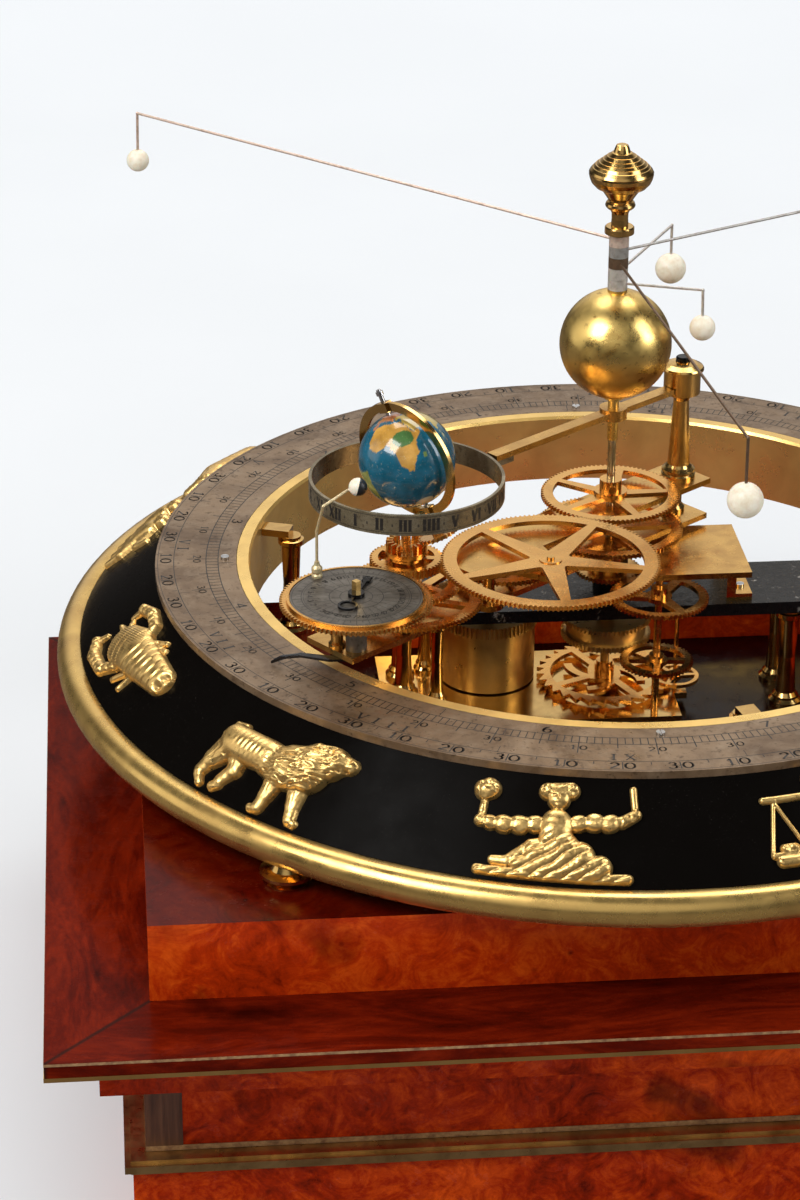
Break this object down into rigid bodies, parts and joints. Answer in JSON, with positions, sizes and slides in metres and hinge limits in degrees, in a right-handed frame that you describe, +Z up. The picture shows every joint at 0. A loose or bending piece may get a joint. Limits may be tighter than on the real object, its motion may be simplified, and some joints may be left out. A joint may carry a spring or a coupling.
{
  "type": "planetary clock",
  "caption": "Geared sun, earth and moon model inside a silvered calendar ring with zodiac reliefs, on a low burr wood plinth, driven by a spring clock movement.",
  "frame": {"origin": "on the plinth's underside, straight below the sun's axis", "axes": "+Z up, -Y is the side nearest the viewer of the picture, +X to the viewer's right"},
  "size_m": [0.6154, 0.6077, 0.4719],
  "materials": {
    "burr_wood": "polished burr veneer",
    "dark_wood": "polished dark veneer",
    "brass": "lacquered turned brass",
    "wheel_brass": "cut and gilt wheel brass",
    "gilt": "gilt cast relief",
    "black_lacquer": "black lacquer on brass sheet",
    "black_paint": "chipped black paint on iron",
    "silvered_brass": "silvered and engraved, tarnished",
    "steel": "polished steel",
    "planet_wire": "drawn wire with an ivory-coloured ball",
    "globe_paint": "hand-painted globe"
  },
  "bodies": {
    "plinth_and_ring": {"plinth_body": "burr_wood", "plinth_moulding": "brass", "plinth_slab": "dark_wood", "raised_panel": "burr_wood", "ring_supports": "brass", "rim_tube_ring": "brass", "black_cone": "black_lacquer", "inner_wall": "brass", "calendar_dial": "silvered_brass", "steel_screws": "steel", "zodiac_ram": "gilt", "zodiac_bull": "gilt", "zodiac_twins": "gilt", "zodiac_crab": "gilt", "zodiac_lion": "gilt", "zodiac_maiden": "gilt", "zodiac_scales": "gilt", "zodiac_scorpion": "gilt", "zodiac_archer": "gilt", "zodiac_goat": "gilt", "zodiac_water_bearer": "gilt", "zodiac_fish": "gilt", "black_beam": "black_paint", "beam_columns": "brass", "bearing_cock": "brass", "sun_arbor": "steel", "lower_sun_wheel": "wheel_brass", "upper_sun_wheel": "wheel_brass", "sun_ball": "gilt", "finial": "brass", "movement_frame": "brass"},
    "year_arm": {"lower_bar": "wheel_brass", "upper_bar": "wheel_brass", "arm_pillars": "brass", "support_arm": "brass", "hour_ring": "silvered_brass", "date_pointer": "black_paint", "moon_dial": "silvered_brass", "moon_figure": "planet_wire"},
    "great_idler_wheel": {"great_idler": "wheel_brass"},
    "small_idler_wheel": {"small_idler": "wheel_brass"},
    "earth_tube_wheel": {"earth_tube": "wheel_brass"},
    "parallel_arbor": {"parallel_wheel": "wheel_brass", "meridian_ring": "brass"},
    "globe_and_axis": {"globe": "globe_paint", "globe_axis": "steel"},
    "moon_wheel_body": {"moon_wheel": "wheel_brass"},
    "moon_hand_body": {"moon_hand": "black_paint"},
    "transfer_arbor": {"transfer_wheel": "wheel_brass"},
    "centre_arbor": {"centre_wheel": "wheel_brass", "escape_wheel": "wheel_brass"},
    "pinion": {"intermediate_pinion": "brass"},
    "barrel": {"spring_barrel": "brass", "mainspring": "steel"},
    "balance": {"balance_wheel": "wheel_brass"},
    "planet_1": {"planet_arm_1": "planet_wire"},
    "planet_2": {"planet_arm_2": "planet_wire"},
    "planet_3": {"planet_arm_3": "planet_wire"},
    "planet_4": {"planet_arm_4": "planet_wire"},
    "planet_5": {"planet_arm_5": "planet_wire"}
  },
  "joints": [
    {"name": "year_turn", "type": "hinge", "parent": "plinth_and_ring", "child": "year_arm", "pos_m": [0, 0, 0.25], "axis": [0, 0, 1], "continuous": true},
    {"name": "great_idler_turn", "type": "hinge", "parent": "year_arm", "child": "great_idler_wheel", "pos_m": [-0.04313, -0.08217, 0.2755], "axis": [0, 0, 1], "continuous": true},
    {"name": "small_idler_turn", "type": "hinge", "parent": "year_arm", "child": "small_idler_wheel", "pos_m": [-0.06128, -0.03545, 0.256], "axis": [0, 0, 1], "continuous": true},
    {"name": "earth_tube_turn", "type": "hinge", "parent": "year_arm", "child": "earth_tube_wheel", "pos_m": [-0.11745, -0.07856, 0.2755], "axis": [0, 0, 1], "continuous": true},
    {"name": "parallel_turn", "type": "hinge", "parent": "year_arm", "child": "parallel_arbor", "pos_m": [-0.11745, -0.07856, 0.256], "axis": [0, 0, 1], "continuous": true},
    {"name": "globe_spin", "type": "hinge", "parent": "parallel_arbor", "child": "globe_and_axis", "pos_m": [-0.11745, -0.07856, 0.334], "axis": [-0.3643, 0.1622, 0.9171], "continuous": true},
    {"name": "moon_wheel_turn", "type": "hinge", "parent": "year_arm", "child": "moon_wheel_body", "pos_m": [-0.147, -0.1266, 0.278], "axis": [0, 0, 1], "continuous": true},
    {"name": "moon_hand_turn", "type": "hinge", "parent": "year_arm", "child": "moon_hand_body", "pos_m": [-0.147, -0.1266, 0.283], "axis": [0, 0, 1], "continuous": true},
    {"name": "transfer_turn", "type": "hinge", "parent": "plinth_and_ring", "child": "transfer_arbor", "pos_m": [0.02231, -0.03699, 0.231], "axis": [0, 0, 1], "continuous": true},
    {"name": "centre_turn", "type": "hinge", "parent": "plinth_and_ring", "child": "centre_arbor", "pos_m": [0, 0, 0.193], "axis": [0, 0, 1], "continuous": true},
    {"name": "pinion_turn", "type": "hinge", "parent": "plinth_and_ring", "child": "pinion", "pos_m": [-0.02885, 0.01385, 0.201], "axis": [0, 0, 1], "continuous": true},
    {"name": "barrel_turn", "type": "hinge", "parent": "plinth_and_ring", "child": "barrel", "pos_m": [-0.064, 0.012, 0.19], "axis": [0, 0, 1], "continuous": true},
    {"name": "balance_swing", "type": "hinge", "parent": "plinth_and_ring", "child": "balance", "pos_m": [0.03721, -0.01354, 0.171], "axis": [0, 0, 1], "range_deg": [-150, 150]},
    {"name": "planet_1_set", "type": "hinge", "parent": "plinth_and_ring", "child": "planet_1", "pos_m": [0, 0, 0.3942], "axis": [0, 0, 1], "continuous": true},
    {"name": "planet_2_set", "type": "hinge", "parent": "plinth_and_ring", "child": "planet_2", "pos_m": [0, 0, 0.40016], "axis": [0, 0, 1], "continuous": true},
    {"name": "planet_3_set", "type": "hinge", "parent": "plinth_and_ring", "child": "planet_3", "pos_m": [0, 0, 0.40612], "axis": [0, 0, 1], "continuous": true},
    {"name": "planet_4_set", "type": "hinge", "parent": "plinth_and_ring", "child": "planet_4", "pos_m": [0, 0, 0.41208], "axis": [0, 0, 1], "continuous": true},
    {"name": "planet_5_set", "type": "hinge", "parent": "plinth_and_ring", "child": "planet_5", "pos_m": [0, 0, 0.41804], "axis": [0, 0, 1], "continuous": true}
  ],
  "couplings": [
    {"joint": "great_idler_turn", "follows": "year_turn", "ratio": 0.65714},
    {"joint": "earth_tube_turn", "follows": "year_turn", "ratio": -2},
    {"joint": "small_idler_turn", "follows": "year_turn", "ratio": 1.2405},
    {"joint": "parallel_turn", "follows": "year_turn", "ratio": -1},
    {"joint": "globe_spin", "follows": "year_turn", "ratio": 0.75},
    {"joint": "moon_wheel_turn", "follows": "year_turn", "ratio": 0.96842},
    {"joint": "transfer_turn", "follows": "year_turn", "ratio": -0.66154},
    {"joint": "centre_turn", "follows": "year_turn", "ratio": 0.52923},
    {"joint": "pinion_turn", "follows": "year_turn", "ratio": -1.5877},
    {"joint": "barrel_turn", "follows": "year_turn", "ratio": 0.46697}
  ]
}
